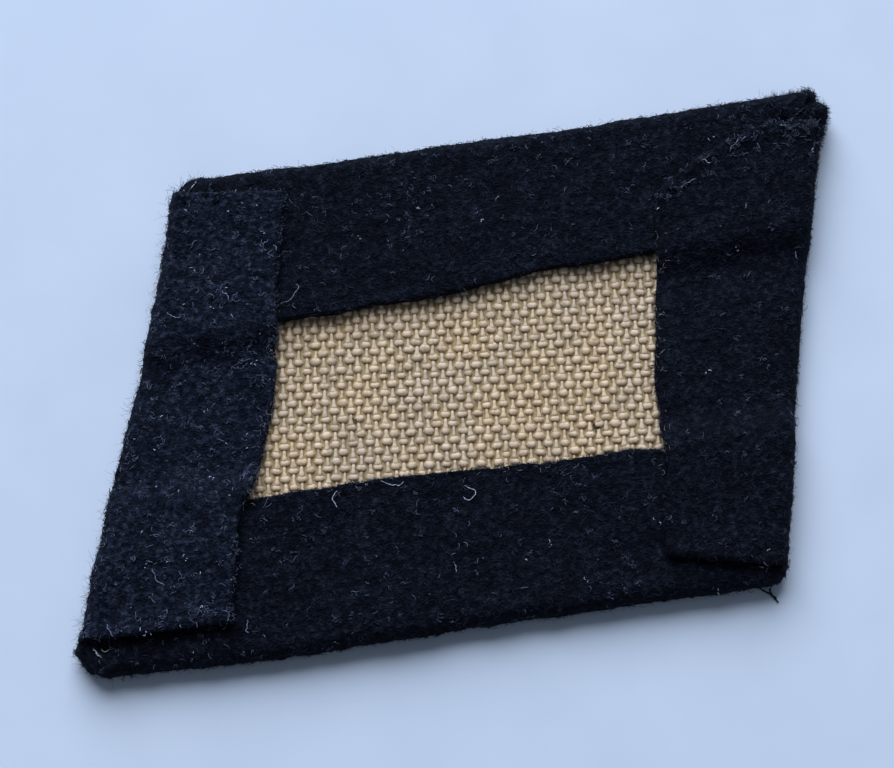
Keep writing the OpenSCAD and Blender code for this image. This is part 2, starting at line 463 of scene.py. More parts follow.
def turn_in_section(depth):
    """The closed section of a turn-in about depth deep, from its foot round the fold, over the top and back
    underneath. Each row (a, b, c, g, shown) is a point at depth a + b * D and height c + g * H. D is the
    turn-in's own depth there and H the height of its top. shown is 1 where nap grows."""
    quarter = np.radians(np.linspace(0, 90, 8))
    rows = [(a, 0, BASE, 0, 1) for a in np.linspace(FOOT, FOLD_R + 0.2 * MM, 6)]
    rows += [(FOLD_R * (1 - math.sin(q)), 0, BASE + FOLD_R * (1 - math.cos(q)), 0, 1) for q in quarter]
    rows += [(-0.04 * MM, 0, (BASE + FOLD_R) * (1 - w) - LIP_R * w, w, 1) for w in (0.33, 0.67)]
    rows += [(LIP_R * (1 - math.cos(q)), 0, -LIP_R * (1 - math.sin(q)), 1, 1) for q in quarter]
    over = np.linspace(0, 1, int(depth / STEP))[1:]
    rows += [(LIP_R * (1 - t) - CUT_R * t, t, 0, 1, 1) for t in over]
    rows += [(-CUT_R * (1 - math.sin(q)), 1, -CUT_R * (1 - math.cos(q)), 1, 1) for q in quarter[2::2]]
    rows += [(0.03 * MM, 1, -w * WOOL, 1, 1) for w in (0.35, 0.55, 0.75)]
    rows += [(-0.1 * MM, 1, -WOOL, 1, 0)]
    rows += [(1.1 * MM * t - 0.3 * MM * (1 - t), 1 - t, -WOOL, 1, 0) for t in np.linspace(0, 1, 9)[1:]]
    rows += [(1.1 * MM, 0, FACE_Z, 0, 0), (FOOT, 0, FACE_Z, 0, 0)]
    return np.array(rows[::-1]).T


class Strips:
    """The lines that a turn-in's cloth follows in plan, each from a point of the outline to a point of the
    cut edge. They leave the outline squarely."""

    def __init__(self, outer, normal, inner, lean):
        chord = np.linalg.norm(inner - outer, axis=1)[:, None]
        middle = outer + normal * chord * lean
        u = np.linspace(0, 1, 33)[:, None, None]
        self.line = ((1 - u) ** 2 * outer + 2 * u * (1 - u) * middle + u ** 2 * inner).transpose(1, 0, 2)
        steps = np.linalg.norm(np.diff(self.line, axis=1), axis=2)
        self.walked = np.concatenate([np.zeros((len(outer), 1)), np.cumsum(steps, 1)], 1)
        self.length = self.walked[:, -1]
        self.first = unit(self.line[:, 1] - self.line[:, 0])
        self.last = unit(self.line[:, -1] - self.line[:, -2])

    def at(self, a, b):
        """The points at depths a + b * D, for arrays a and b."""
        depth = a + b * self.length[:, None]
        points = np.stack([
            np.stack([np.interp(d, w, line[:, k]) for k in range(2)], 1)
            for d, w, line in zip(depth, self.walked, self.line)
        ])
        before = np.minimum(depth, 0)[..., None]
        beyond = np.maximum(depth - self.length[:, None], 0)[..., None]
        return points + before * self.first[:, None] + beyond * self.last[:, None]


def make_turn_in(name, outer, normal, inner, height, material, tuck=0.0, lips=(0, 0), leans=(0.4, 0.4),
                 thin=0.0):
    """A turn-in from the outline points outer to the cut edge points inner. height gives its top, from plan
    points. tuck is how far its two ends go in under what lies on them, lips how far each end curls up, leans
    how squarely each end's cut leaves the outline, and thin how much thinner it gets at its inner edge."""
    count = len(outer)
    from_ends = np.arange(count) * STEP, np.arange(count)[::-1] * STEP
    to_end = np.minimum(*from_ends)
    tucked = tuck * (1 - smooth((to_end - 0.6 * MM) / (1.2 * MM)))
    lean = 0.4 - sum((0.4 - lean) * (1 - smooth(d / (9 * MM))) for lean, d in zip(leans, from_ends))
    strips = Strips(outer + normal * tucked[:, None], normal, inner, lean[:, None])
    a, b, c, g, shown = turn_in_section(np.median(strips.length))
    plan = strips.at(a, b)
    depth = (a + b * strips.length[:, None]) / MM
    rounded = 0.2 * MM * np.exp(-to_end / (0.14 * MM))[:, None]
    curl = sum(lip * hump(d - 0.5 * MM, 0.8 * MM) for lip, d in zip(lips, from_ends))
    tops = height(plan) - rounded - 0.5 * tucked[:, None] + curl[:, None] * smooth(depth / 3)
    to_cut = strips.length[:, None] / MM - depth
    tops -= thin * smooth(1 - to_cut / 1.8) * np.clip(1 + c / WOOL, 0, 1)
    grid = flat3(plan, c + g * tops)
    grid += grid_normals(grid) * (felt_bumps(grid) * shown)[..., None]
    grid[..., 2] = np.maximum(grid[..., 2], LOWEST_FOLD)
    add_nap_beds(grid, shown > 0, (shown > 0) & (b > 0.97))
    return make_tubes(name, [grid], material), grid


def low_height(plan):
    """The top of a turn-in that lies on the buckram. It is bunched up at the top right corner."""
    bunched = hump(np.linalg.norm(plan - corner_point(TR, 1.2 * MM, 1.2 * MM), axis=-1), 3.0 * MM)
    return (LOW_Z - 0.10 * MM + 0.85 * MM * bunched + 0.12 * MM * noise(flat3(plan), 9 * MM, 31)
            + corner_lumps(plan))


def side_height(plan):
    """The top of a side turn-in, which is high over the top and bottom turn-ins and sags between them."""
    slope = 3.2 * MM
    over_top = smooth((plan[..., 1] - y_on(top_inner, plan[..., 0])) / slope + 1)
    over_bottom = smooth((y_on(bottom_inner, plan[..., 0]) - plan[..., 1]) / slope + 1)
    high = np.maximum(over_top, over_bottom)
    return (LOW_Z + (HIGH_Z - LOW_Z) * high - 0.10 * MM + 0.12 * MM * noise(flat3(plan), 7 * MM, 32)
            + corner_lumps(plan))


# Lumps and pits of bunched felt at each corner: distance inside the side before it and inside the side after
# it, height and width, in millimetres
BUNCHES = {
    TR: ((1.9, 0.9, 0.4, 0.9), (0.9, 3.0, 0.35, 1.0), (3.8, 3.2, -1.1, 0.42), (2.6, 4.8, 0.25, 0.9),
         (5.0, 1.2, 0.35, 0.9), (5.6, 2.6, 0.25, 0.8)),
    TL: ((1.3, 2.4, 0.2, 0.9), (3.0, 1.4, -0.6, 0.3), (2.4, 3.1, -0.5, 0.28), (3.3, 4.2, -0.5, 0.28),
         (4.2, 2.4, 0.2, 0.9)),
    BL: ((1.0, 3.2, 0.35, 0.9), (2.2, 1.0, 0.35, 0.8), (2.4, 2.2, -0.5, 0.4), (5.0, 1.4, 0.15, 0.9)),
    BR: ((1.6, 1.8, 0.1, 1.2), (3.1, 3.0, -0.3, 0.6)),
}


def corner_lumps(plan):
    total = 0
    for k, bunches in BUNCHES.items():
        for before, after, high, width in bunches:
            place = corner_point(k, before * MM, after * MM)
            total = total + high * MM * hump(np.linalg.norm(plan - place, axis=-1), width * MM)
    return total


def walk_outline(start, end):
    """The outline's points and inward normals from near start, anticlockwise to near end."""
    first, last = (np.argmin(np.linalg.norm(outline - p, axis=1)) for p in (start, end))
    if last < first:
        last += len(outline)
    part = outline[np.arange(first, last + 1) % len(outline)]
    length = np.linalg.norm(np.diff(part, axis=0), axis=1).sum()
    points = resample(part, int(length / STEP))
    smoothed = points
    for _ in range(12):
        between = (smoothed[:-2] + smoothed[1:-1] + smoothed[2:]) / 3
        smoothed = np.concatenate([points[:1], between, points[-1:]])
    tangent = unit(np.gradient(smoothed, axis=0))
    return points, np.stack([-tangent[:, 1], tangent[:, 0]], 1)


# How far inside the bottom or top side the cut end of the side turn-in at each corner stops, at the outline
# and at its inner corner
GAPS = np.array([(3.3, 3.2), (2.0, 4.3), (4.3, 8.4), (1.4, 2.9)]) * MM
TUCK_UNDER = 2.4 * MM  # how far the bottom and top turn-ins go on round the corners, under the side ones
left_inner = facing("left_turn_in", (1, 0))
right_inner = facing("right_turn_in", (-1, 0))


def outline_at(k, further=0.0):
    """Where the cut end of the side turn-in at corner k meets the outline, or a place further along."""
    gap = GAPS[k][0] + further
    return corner_point(k, *((gap, 0) if k in (BR, TL) else (0, gap)))


def parallel(side, gap):
    """The line gap inside a side."""
    start = corner[side] + inward[side] * gap
    return start, start + along[side]


def inner_corner(k, side_edge):
    """Where the cut end of the side turn-in at corner k meets its inner edge."""
    return crossing(side_edge, parallel(BOTTOM if k in (BL, BR) else TOP, GAPS[k][1]))


outer, normal = walk_outline(outline_at(BR), outline_at(TR))
inner = bent_line(inner_corner(BR, right_inner), inner_corner(TR, right_inner),
                  (0, 0.1, -0.3, 0.2, 0.5, 0.4, 0.15, 0.15, 0), len(outer), 41)
right_flap, right_grid = make_turn_in("felt_right_turn_in", outer, normal, inner, side_height, FELT,
                                      lips=(0.05 * MM, 0.3 * MM), leans=(0.1, 0.4), thin=0.15 * MM)

outer, normal = walk_outline(outline_at(TL), outline_at(BL))
inner = bent_line(inner_corner(TL, left_inner), inner_corner(BL, left_inner),
                  (0, 0.1, 0.3, 0.7, 1.2, 1.1, 0.5, -0.5, -0.4, 0), len(outer), 42)
# Its felt is the painted-light copy
left_flap, left_grid = make_turn_in("felt_left_turn_in", outer, normal, inner, side_height, PAINTED_LIGHT_FELT,
                                    lips=(0.02 * MM, 0.1 * MM), leans=(0.1, 0.1), thin=0.15 * MM)

# The cut edges of the top and bottom turn-ins end on these lines, under the side ones
right_end, left_end = parallel(RIGHT, 3 * MM), parallel(LEFT, 3 * MM)

outer, normal = walk_outline(outline_at(TR, TUCK_UNDER), outline_at(TL, TUCK_UNDER))
inner = bent_line(crossing(top_inner, right_end), crossing(top_inner, left_end),
                  (0, 0, 0.1, 0.0, -0.2, 0.2, 0.45, 0.3, 0.1, 0, 0), len(outer), 43)
top_flap, _ = make_turn_in("felt_top_turn_in", outer, normal, inner, low_height, FELT, 1.0 * MM)

outer, normal = walk_outline(outline_at(BL, TUCK_UNDER), outline_at(BR, TUCK_UNDER))
inner = bent_line(crossing(bottom_inner, left_end), crossing(bottom_inner, right_end),
                  (0, 0, 0.1, 0.3, 0.2, 0.1, 0, 0, 0), len(outer), 44)
bottom_flap, _ = make_turn_in("felt_bottom_turn_in", outer, normal, inner, low_height, FELT, 1.0 * MM)


# The face of the patch, which lies on the floor

FLAT_RINGS = 75  # rings of points in the flat of the face, before its rim


def make_face():
    """The plain front of the felt, whose rim runs up inside the folds."""
    rim = outline[::2]
    tangent = unit(np.roll(rim, -1, 0) - np.roll(rim, 1, 0))
    for _ in range(8):
        tangent = unit(np.roll(tangent, -1, 0) + tangent + np.roll(tangent, 1, 0))
    inside_rim = rim + np.stack([-tangent[:, 1], tangent[:, 0]], 1) * 1.6 * MM
    centre = rim.mean(0)
    rings = []
    for t in np.linspace(0.012, 0.997, FLAT_RINGS):
        rings.append(flat3(centre + (inside_rim - centre) * t, BASE))
    for share, z in ((0.999, 0.12), (1.0, 0.3), (1.0, 0.7)):
        rings.append(flat3(centre + (inside_rim - centre) * share, z * MM))
    for t in (0.99, 0.6, 0.02):
        rings.append(flat3(centre + (inside_rim - centre) * t, FACE_Z))
    grid = np.array(rings)
    grid[:FLAT_RINGS] -= UP * felt_bumps(grid[:FLAT_RINGS])[..., None] * 0.8
    grid[..., 2] = np.maximum(grid[..., 2], LOWEST_FACE)
    return make_tubes("felt_face", [grid], FELT), grid[:FLAT_RINGS]


face, face_grid = make_face()
face_bed = grid_quads(face_grid).reshape(-1, 4, 3)


# The buckram

WEAVE = 0.8 * MM  # from one yarn to the next, both ways
WEAVE_TURN = math.radians(-5.5)
MARGIN = 1.6 * MM  # how far the yarns go on under the turn-ins
YARNS = 40  # yarns to try on each side of the window's middle
HALF_YARN = 36 * MM  # half the length of each before it is cut
PLY_TOP = FACE_Z + 0.38 * MM
window_lines = [bottom_inner, right_inner, top_inner[::-1], left_inner]
window = np.array([crossing(window_lines[k - 1], window_lines[k]) for k in range(4)])
middle = window.mean(0)
weft_way = np.array([math.cos(WEAVE_TURN), math.sin(WEAVE_TURN)])
warp_way = np.array([-weft_way[1], weft_way[0]])


def window_depth(points):
    """How far plan points lie inside the window's nearest edge."""
    edges = np.roll(window, -1, 0) - window
    normals = unit(np.stack([-edges[:, 1], edges[:, 0]], 1))
    return np.min([(points - window[k]) @ normals[k] for k in range(4)], axis=0)


def make_yarns(name, way, across, over, wide, thick, knuckle, material, seed, neck=0.4, flare=0.0):
    """Parallel yarns along way, spaced along across. over is +1 or -1: whether they pass over at even
    crossings. knuckle is half the length of each part that lies on top, neck the share of its width that is
    left between them, and flare how much wider and higher it gets back along the yarn."""
    rng = np.random.default_rng(seed)
    angles = np.linspace(0, 2 * math.pi, 8, endpoint=False)
    walk = np.arange(-HALF_YARN, HALF_YARN, WEAVE / 8)
    yarns = []
    for i in range(-YARNS, YARNS + 1):
        line = middle + across * (i * WEAVE + rng.normal(0, 0.03 * MM)) + way * walk[:, None]
        line += across * (0.13 * MM * noise(flat3(line), 1.9 * MM, seed + i))[:, None]
        kept = np.flatnonzero(window_depth(line) > -MARGIN)
        if len(kept) < 4:
            continue
        line, at = line[kept[0]:kept[-1] + 1], walk[kept[0]:kept[-1] + 1]
        turns = at / WEAVE + i + (over < 0)
        turns = turns + 0.12 * noise(flat3(line), 1.4 * MM, seed + 5 + i)
        from_top = (turns + 0.5 * flare + 1) % 2 - 1
        reach = knuckle * (1 + 0.22 * noise(flat3(line), 1.3 * MM, seed + 9 + i))
        plateau = np.exp(-np.abs(from_top * WEAVE / reach) ** 4.5)
        back = flare * np.maximum(np.sin(-math.pi * from_top), -0.3)
        rise = 0.115 * MM * (2.6 * plateau - 1.6) + 0.10 * MM * back * plateau
        rise += 0.03 * MM * noise(flat3(line), 1.1 * MM, seed + 7 + i)
        size = (1 + rng.normal(0, 0.07)) * (1 + 0.30 * noise(flat3(line), 0.8 * MM, seed + 3 + i))
        half_wide = wide * size * (neck + (1 - neck) * plateau) * (1 + back)
        half_thick = thick * size * (0.8 + 0.2 * plateau)
        ring = flat3(line, FACE_Z + 0.4 * MM + rise)[:, None]
        ring = ring + (np.cos(angles)[:, None] * flat3(across)) * half_wide[:, None, None]
        ring = ring + (np.sin(angles)[:, None] * UP) * half_thick[:, None, None]
        yarns.append(ring)
    return make_tubes(name, yarns, material)


def make_ply():
    """The buckram's sized ground, under the yarns and on to its hidden edges."""
    corners = plan_hull("buckram")
    count = 40
    edges = zip(corners, np.roll(corners, -1, 0))
    ring = np.concatenate([resample(np.array(edge), count)[:-1] for edge in edges])
    centre = ring.mean(0)
    low = [flat3(centre + (ring - centre) * t, FACE_Z + 0.02 * MM) for t in (0.05, 0.5, 1)]
    high = [flat3(centre + (ring - centre) * t, PLY_TOP) for t in np.linspace(1, 0.05, 20)]
    grid = np.array(low + high)
    grid[3:] += UP * (0.02 * MM * noise(grid[3:], 0.5 * MM, 51))[..., None]
    return make_tubes("buckram_ply", [grid], PLY)


# The weft and warp get painted shade from their second colour; the ground's two colours are the same
PLY = yarn_material("buckram_ground", (0.41, 0.32, 0.18), (0.41, 0.32, 0.18))
ply = make_ply()
weft = make_yarns("buckram_weft", weft_way, warp_way, 1, 0.335 * MM, 0.19 * MM, 0.42 * MM,
                  yarn_material("buckram_weft", (0.77, 0.615, 0.46), (0.50, 0.39, 0.24)), 61, 0.5)
warp = make_yarns("buckram_warp", warp_way, -weft_way, -1, 0.19 * MM, 0.16 * MM, 0.63 * MM,
                  yarn_material("buckram_warp", (0.71, 0.565, 0.42), (0.48, 0.375, 0.23)), 62, 0.75, 0.38)


# Fibres

CLUMP_SIZE = 0.13 * MM


def make_fibres(name, beds, count, length, radius, material, seed, lift=0.12, free=0.5, curl=2.5, rings=6,
                along_x=0.6, clump=1):
    """Single curly fibres that lie on the quads in beds. length, radius and lift are in millimetres, the
    first two each a least and a most. free is the share of fibres whose far end stands off the cloth, and
    along_x the share of them that lie along the cloth's X. They grow in clumps of so many."""
    rng = np.random.default_rng(seed)
    across, down = beds[:, 2] - beds[:, 0], beds[:, 3] - beds[:, 1]
    facing_out = np.cross(across, down)
    area = np.linalg.norm(facing_out, axis=1)
    area *= 0.25 + smooth(0.5 + 0.9 * noise(beds[:, 0], 3.5 * MM, seed))
    picked = np.repeat(rng.choice(len(beds), count // clump, p=area / area.sum()), clump)
    count = len(picked)
    u, v = rng.random((2, count, 1))
    bed = beds[picked]
    root = (bed[:, 0] * (1 - u) + bed[:, 1] * u) * (1 - v) + (bed[:, 3] * (1 - u) + bed[:, 2] * u) * v
    out = unit(facing_out[picked])
    if clump > 1:
        root = root + CLUMP_SIZE * np.cross(out, rng.normal(size=(count, 3)))
    way = rng.normal(size=(count, 3))
    way[rng.random(count) < along_x] *= (0.25, 1, 1)
    first = unit(np.cross(np.cross(out, way[:, [1, 0, 2]] * (1, 1, 0.3)), out))
    second = np.cross(out, first)
    t = np.linspace(0, 1, rings)
    whole = rng.uniform(length[0], length[1], count) * MM
    bend = rng.normal(0, curl, count)
    swing, phase = 0.6 * rng.normal(size=(count, 1)), rng.random((count, 1))
    turn = bend[:, None] * t + swing * np.sin(2 * math.pi * (t + phase))
    step = (whole / (rings - 1))[:, None, None]
    heading = np.cos(turn)[..., None] * first[:, None] + np.sin(turn)[..., None] * second[:, None]
    path = root[:, None] + np.cumsum(heading * step, 1) - heading[:, :1] * step
    loose = rng.random((count, 1)) < free
    high = lift * MM * rng.uniform(0.3, 1.4, (count, 1))
    rise = np.where(loose, high * t ** 1.5 * 1.6, high * 4 * t * (1 - t)) - 0.015 * MM
    path = path + out[:, None] * rise[..., None]
    side = unit(np.cross(out[:, None], heading))
    thick = rng.uniform(radius[0], radius[1], (count, 1)) * MM
    thick = thick * (0.35 + 0.65 * np.sin(math.pi * (0.1 + 0.8 * t)))
    points = []
    for angle in (0, 2 * math.pi / 3, 4 * math.pi / 3):
        points.append(path + (math.cos(angle) * side + math.sin(angle) * out[:, None]) * thick[..., None])
    points = np.stack(points, 2)
    points[..., 2] = np.maximum(points[..., 2], 0.004 * MM)
    quads, caps = tube_faces(rings, 3)
    start = (np.arange(count) * rings * 3)[:, None, None]
    faces = [(quads + start).reshape(-1, 4), (caps + start).reshape(-1, 3)]
    return make_piece(name, points.reshape(-1, 3), faces, material)


back_bed = np.concatenate(nap_beds)
back_bed = back_bed[back_bed[:, :, 2].mean(1) > 0.5 * MM]
steep = np.abs(unit(np.cross(back_bed[:, 2] - back_bed[:, 0], back_bed[:, 3] - back_bed[:, 1]))[:, 2]) < 0.75

DARK = fibre_material("nap_dark", (0.0025, 0.0033, 0.0070), 0.8, 0.03, 0.12)
NAVY = fibre_material("nap_navy", (0.0075, 0.0098, 0.0205), 0.8, 0.05, 0.15)
SLATE = fibre_material("nap_slate", (0.023, 0.029, 0.055), 0.75, 0.08, 0.2)
SOFT = fibre_material("nap_soft", (0.056, 0.071, 0.112), 0.8, 0.1, 0.15)
DUSTY = fibre_material("nap_dusty", (0.046, 0.051, 0.080), 0.85, 0.1, 0.1)
GREY = fibre_material("nap_grey_blue", (0.105, 0.135, 0.205), 0.8, 0.2, 0.2)
CURL = fibre_material("curl_grey_blue", (0.19, 0.235, 0.33))
PALE = fibre_material("lint_pale", (0.55, 0.63, 0.78))
COTTON = fibre_material("loose_cotton", (0.62, 0.58, 0.52))
BROWN = fibre_material("speck_brown", (0.075, 0.050, 0.025), 0.9, 0, 0.1)


def ends_of(grid, rows):
    """The quads over the top of a turn-in, in some rows of its grid."""
    part = grid[rows]
    part = part[:, part[:, :, 2].min(0) > LOW_Z - 0.9 * MM]
    return np.stack([part[:-1, :-1], part[:-1, 1:], part[1:, 1:], part[1:, :-1]], 2).reshape(-1, 4, 3)


cut_bed = np.concatenate(cut_beds)
back_plan = back_bed.mean(1)[:, :2]
bottom_left, top_right = (np.linalg.norm(back_plan - corner[k], axis=1) < 6 * MM for k in (BL, TR))
hairy = bottom_left | (inside(back_plan, LEFT) < 2 * MM)

# The grey curls are thick on the left turn-in and few on the right one
rng = np.random.default_rng(70)
shares = (0.25, 1, 0.5, 0.6)  # of the right, left, top and bottom turn-ins
curly_bed = np.concatenate([bed[rng.random(len(bed)) < share] for bed, share in zip(nap_beds, shares)])
curly_bed = curly_bed[curly_bed[:, :, 2].mean(1) > 0.8 * MM]

# Each row holds the arguments of make_fibres, in their order
naps = [make_fibres(*row) for row in (
    ("nap_dark", back_bed, 3600, (0.4, 1.4), (0.022, 0.046), DARK, 71, 0.10, 0.5, 2.5, 5),
    ("nap_navy", back_bed, 5200, (0.4, 1.3), (0.022, 0.042), NAVY, 72, 0.08, 0.5, 2.5, 5),
    ("nap_slate", back_bed, 3000, (0.25, 0.9), (0.020, 0.040), SLATE, 74, 0.10, 0.5, 2.5, 5, 0.6, 4),
    ("nap_grey", curly_bed, 400, (0.3, 0.9), (0.024, 0.042), GREY, 78, 0.16, 0.5, 3.0, 7),
    ("nap_tufts", curly_bed, 2200, (0.15, 0.45), (0.034, 0.058), SOFT, 79, 0.10, 0.4, 3.0, 6, 0.3, 7),
    ("nap_edge", back_bed[steep], 900, (0.4, 1.6), (0.008, 0.015), NAVY, 75, 0.3, 0.7),
    ("nap_fringe", back_bed[steep], 6500, (0.12, 0.42), (0.016, 0.030), DARK, 83, 0.13, 0.9, 1.5, 4),
    ("nap_hairs", back_bed[steep & hairy], 340, (0.5, 1.8), (0.007, 0.014), DARK, 87, 0.5, 0.9, 2.0),
    ("nap_cut_edges", cut_bed, 2400, (0.15, 0.5), (0.014, 0.028), DARK, 88, 0.15, 0.8, 2.0, 4, 0.3),
    ("nap_cut_right", ends_of(right_grid, slice(-13, None)), 330, (0.2, 0.6), (0.026, 0.048), SOFT, 81,
     0.2, 0.4, 3.0, 7, 0.3, 6),
    ("nap_ridge", ends_of(right_grid, slice(-12, None)), 420, (0.25, 0.7), (0.040, 0.072), DUSTY, 93,
     0.12, 0.4, 3.0, 7, 0.3, 6),
    ("nap_cut_left", ends_of(left_grid, slice(0, 7)), 120, (0.2, 0.6), (0.024, 0.044), SOFT, 82,
     0.2, 0.4, 3.0, 7, 0.3, 3),
    ("nap_cut_inner", cut_beds[1], 240, (0.2, 0.6), (0.022, 0.042), SOFT, 90, 0.2, 0.4, 3.0, 7, 0.3, 4),
    ("nap_corner", back_bed[steep & top_right], 1300, (0.15, 0.5), (0.014, 0.026), DARK, 91,
     0.3, 0.9, 1.5, 4),
    ("nap_left", ends_of(left_grid, slice(20, None)), 340, (0.3, 0.8), (0.024, 0.042), GREY, 86,
     0.18, 0.5, 3.4, 8, 0.3, 4),
    ("lint_left", nap_beds[1], 60, (0.15, 0.45), (0.026, 0.042), PALE, 92, 0.15, 0.4, 3.5, 7, 0.4),
    ("lint", curly_bed, 90, (0.15, 0.5), (0.026, 0.044), PALE, 76, 0.15, 0.4, 3.5, 7, 0.4, 2),
)]
face_naps = [make_fibres("nap_face", face_bed, 4200, (0.4, 1.4), (0.018, 0.034), NAVY, 77, 0.03, rings=5)]


# Sewing thread

class Surface:
    """The felt and weave as they lie, for finding how high they are at a place."""

    def __init__(self, objects):
        self.trees = []
        for o in objects:
            mesh = o.data
            points = [v.co.copy() for v in mesh.vertices]
            self.trees.append(BVHTree.FromPolygons(points, [tuple(f.vertices) for f in mesh.polygons]))

    def top(self, x, y):
        """The highest surface at a place, or the floor."""
        hits = [tree.ray_cast(Vector((x, y, 0.02)), Vector((0, 0, -1)))[0] for tree in self.trees]
        return max([hit.z for hit in hits if hit is not None], default=0.0)


surface = Surface([top_flap, bottom_flap, left_flap, right_flap, weft])


def over_surface(k, places):
    """A line over the cloth at corner k, through places given as distances inside the side before the corner
    and the side after it and a height over the cloth, in millimetres."""
    rows = []
    for before, after, high in places:
        x, y = corner_point(k, before * MM, after * MM)
        rows.append((x, y, surface.top(x, y) + high * MM))
    return np.array(rows)


def soft_line(points, count):
    """A smooth line through points."""
    points = np.array([2 * points[0] - points[1], *points, 2 * points[-1] - points[-2]])
    parts = []
    for p0, p1, p2, p3 in zip(points, points[1:], points[2:], points[3:]):
        t = np.linspace(0, 1, 12, endpoint=False)[:, None]
        parts.append(0.5 * (2 * p1 + (p2 - p0) * t + (2 * p0 - 5 * p1 + 4 * p2 - p3) * t ** 2
                            + (3 * p1 - 3 * p2 + p3 - p0) * t ** 3))
    return resample(np.concatenate([*parts, points[-2:-1]]), count)


def make_threads(name, lines, ply, apart, material, columns=8):
    """Two plies twisted along each line. ply is a ply's radius and apart how far it lies off the middle."""
    plies = []
    angles = np.linspace(0, 2 * math.pi, columns, endpoint=False)
    for line in lines:
        length = np.linalg.norm(np.diff(line, axis=0), axis=1).sum()
        line = soft_line(line, max(int(length / (0.06 * MM)), 8))
        way = unit(np.gradient(line, axis=0))
        side = unit(np.cross(UP, way) + 1e-9 * X)
        top = np.cross(way, side)
        walked = np.linspace(0, length, len(line))
        for half in (0, math.pi):
            turn = 2 * math.pi * walked / (0.9 * MM) + half
            middle_line = line + apart * (np.cos(turn)[:, None] * side + np.sin(turn)[:, None] * top)
            thin = ply * (1 - 0.5 * np.exp(-np.minimum(walked, length - walked) / (0.08 * MM)))
            ring = middle_line[:, None] + thin[:, None, None] * (
                np.cos(angles)[:, None] * side[:, None] + np.sin(angles)[:, None] * top[:, None])
            plies.append(ring)
    return make_tubes(name, plies, material)


# A pale colour that paints highlights: the shine on the corner stitches' thread
PAINTED_GLINT = fibre_material("thread_painted_glint", (0.72, 0.76, 0.80), 0.28, 0.0)
BLACK = fibre_material("thread_black", (0.006, 0.008, 0.014), 0.55, 0.0)
THREAD = fibre_material("thread_grey", (0.22, 0.26, 0.32), 0.28, 0.0)


def stitch(name, k, lines, ply=0.075 * MM, apart=0.06 * MM, material=BLACK):
    """The stitches at corner k, each along a line over the cloth."""
    return make_threads(name, [over_surface(k, places) for places in lines], ply, apart, material)


stitches = {
    "stitches_top_left": stitch("thread_top_left", TL, [
        [(3.1, 1.5, -0.25), (2.2, 1.45, 0.1), (1.2, 1.45, 0.14), (0.35, 1.8, 0.1), (-0.02, 1.9, -0.5)],
        [(2.5, 3.1, -0.25), (1.9, 3.15, 0.06), (1.1, 3.2, 0.06), (0.7, 3.3, -0.2)],
        [(3.4, 4.2, -0.25), (2.8, 4.3, 0.06), (1.9, 4.4, 0.05), (1.5, 4.5, -0.2)],
    ]),
    "stitches_top_right": stitch("thread_top_right", TR, [
        [(3.9, 3.2, -0.3), (3.1, 2.8, -0.03), (2.2, 2.2, -0.03), (1.8, 1.9, -0.2)],
        [(6.3, 4.9, -0.2), (6.0, 4.2, -0.03), (5.7, 3.3, -0.03), (5.6, 2.9, -0.2)],
        [(8.9, 6.3, -0.2), (8.6, 5.6, -0.03), (8.2, 4.7, -0.03), (8.1, 4.3, -0.2)],
    ]),
    "stitches_bottom_left": stitch("thread_bottom_left", BL, [
        [(1.1, 2.7, -0.2), (1.35, 2.4, 0.06), (1.7, 2.0, 0.12), (2.1, 1.6, 0.06), (2.3, 1.4, -0.15)],
        [(1.8, 2.6, -0.1), (2.0, 2.3, 0.1), (2.25, 2.1, 0.14), (2.6, 2.2, 0.1), (2.75, 2.4, -0.1)],
        [(3.2, 2.2, -0.25), (3.5, 1.6, -0.12), (3.7, 0.9, -0.1), (3.8, 0.3, -0.12), (3.8, 0, -0.4)],
    ], 0.030 * MM, 0.022 * MM, THREAD),
    "stitches_bottom_right": stitch("thread_bottom_right", BR, [
        [(2.3, 3.9, -0.2), (2.3, 3.5, 0.05), (2.15, 2.7, 0.06), (2.05, 2.0, 0.05), (2.0, 1.7, -0.2)],
        [(3.3, 3.9, -0.15), (3.1, 3.7, 0.10), (2.9, 3.5, -0.1)],
        [(4.7, 4.0, -0.15), (4.6, 3.5, 0.05), (4.5, 3.0, -0.2)],
    ], 0.065 * MM, 0.055 * MM),
}


def low_line(k, places):
    """A line near the floor at corner k, through places with heights over the floor, in millimetres."""
    return np.array([(*corner_point(k, a * MM, b * MM), high * MM) for a, b, high in places])


# Painted highlights: pale strands laid just over and beside the corner stitches, where their thread shines
painted_glints = make_threads("thread_painted_glints", [over_surface(k, places) for k, places in (
    (BL, [(1.3, 2.3, 0.12), (1.55, 2.2, 0.18), (1.75, 1.8, 0.18), (2.1, 1.65, 0.05)]),
    (BL, [(2.0, 2.3, 0.12), (2.15, 2.15, 0.22), (2.4, 2.08, 0.20), (2.6, 2.2, 0.12)]),
    (TL, [(1.35, 1.35, 0.10), (1.0, 1.5, 0.17), (0.55, 1.75, 0.15), (0.3, 1.8, 0.08)]),
    (TR, [(4.5, 3.6, -0.1), (4.2, 3.9, 0.08), (3.9, 3.7, -0.05)]),
    (BR, [(2.3, 2.95, 0.0), (2.2, 2.7, 0.12), (2.1, 2.4, 0.12), (2.1, 2.2, 0.02)]),
    (BR, [(2.5, 2.6, 0.0), (2.35, 2.3, 0.16), (2.2, 2.0, 0.05)]),
    (BR, [(3.25, 3.8, 0.0), (3.1, 3.7, 0.16), (2.95, 3.6, 0.05)]),
)], 0.022 * MM, 0.017 * MM, PAINTED_GLINT, 6)
